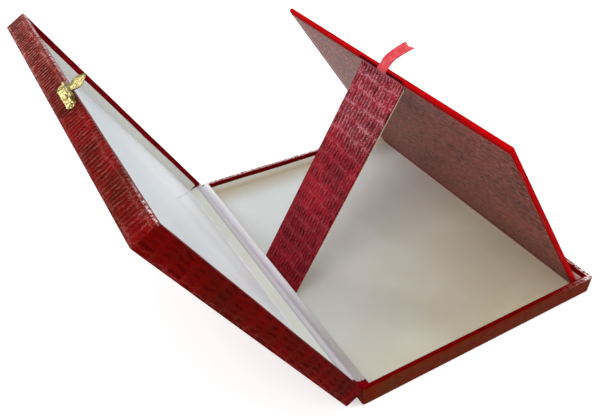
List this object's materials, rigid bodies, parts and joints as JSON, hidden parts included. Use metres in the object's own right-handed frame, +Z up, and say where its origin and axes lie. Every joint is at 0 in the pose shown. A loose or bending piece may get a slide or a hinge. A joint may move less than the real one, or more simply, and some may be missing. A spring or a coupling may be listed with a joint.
{
  "type": "hinged presentation case with raised display panel",
  "caption": "Shallow hinged presentation case in embossed leatherette; its velvet display panel stands tilted on a fold-out rear strut, and a leaf clasp closes the satin-lined lid.",
  "frame": {"origin": "centre of the base tray's underside", "axes": "+X along the lid's hinge, -Y to the front with the clasp, +Y to the hinge, +Z up"},
  "size_m": [0.284, 0.3673, 0.2196],
  "materials": {
    "case_leatherette": "glossy embossed bar grain",
    "strut_leatherette": "glossy embossed bar grain",
    "velvet": "short pile",
    "back_paper": "fine wavy leather grain",
    "board": "raw grey board",
    "strip_wood": "sanded softwood strip",
    "base_lining": "smooth satin-faced lining paper",
    "lid_satin": "soft satin",
    "hinge_satin": "satin tape",
    "hinge_cloth": "plain bookbinder's cloth",
    "ribbon_satin": "satin ribbon",
    "strut_paper": "plain paper",
    "brass": "polished stamped brass"
  },
  "bodies": {
    "base": {"base_bottom_cover": "case_leatherette", "base_board": "board", "base_front_wall": "strip_wood", "base_back_wall": "strip_wood", "base_left_wall": "strip_wood", "base_right_wall": "strip_wood", "base_wall_cover": "case_leatherette", "base_wall_lining": "base_lining", "base_floor_pad": "base_lining", "hinge_tape_base": "hinge_satin", "panel_hinge_cloth_base": "hinge_cloth", "catch_plate": "brass", "catch_nails": "brass"},
    "lid": {"lid_top_cover": "case_leatherette", "lid_board": "board", "lid_front_wall": "strip_wood", "lid_back_wall": "strip_wood", "lid_left_wall": "strip_wood", "lid_right_wall": "strip_wood", "lid_wall_cover": "case_leatherette", "lid_wall_lining": "lid_satin", "lid_satin_pad": "lid_satin", "hinge_tape_lid": "hinge_satin", "clasp_plate": "brass", "clasp_nails": "brass", "clasp_pin": "brass"},
    "clasp": {"clasp_tongue": "brass"},
    "panel": {"panel_board": "board", "panel_velvet": "velvet", "panel_back_paper": "back_paper", "panel_hinge_cloth": "hinge_cloth", "ribbon_tab": "ribbon_satin", "strut_flap": "strut_leatherette"},
    "strut": {"strut_board": "board", "strut_cover": "strut_leatherette", "strut_back_paper": "strut_paper"}
  },
  "joints": [
    {"name": "lid_hinge", "type": "hinge", "parent": "base", "child": "lid", "pos_m": [0, 0.115, 0.01615], "axis": [-1, 0, 0], "range_deg": [-65, 55]},
    {"name": "clasp_hinge", "type": "hinge", "parent": "lid", "child": "clasp", "pos_m": [-0.003, 0.23965, 0.21242], "axis": [-1, 0, 0], "range_deg": [0, 80]},
    {"name": "panel_hinge", "type": "hinge", "parent": "base", "child": "panel", "pos_m": [0, -0.1051, 0.0033], "axis": [1, 0, 0], "range_deg": [0, 35.6]},
    {"name": "strut_hinge", "type": "hinge", "parent": "panel", "child": "strut", "pos_m": [0, 0.01396, 0.16908], "axis": [-1, 0, 0], "range_deg": [0, 64.45]}
  ],
  "couplings": [
    {"joint": "strut_hinge", "follows": "panel_hinge", "ratio": 1.8105}
  ]
}
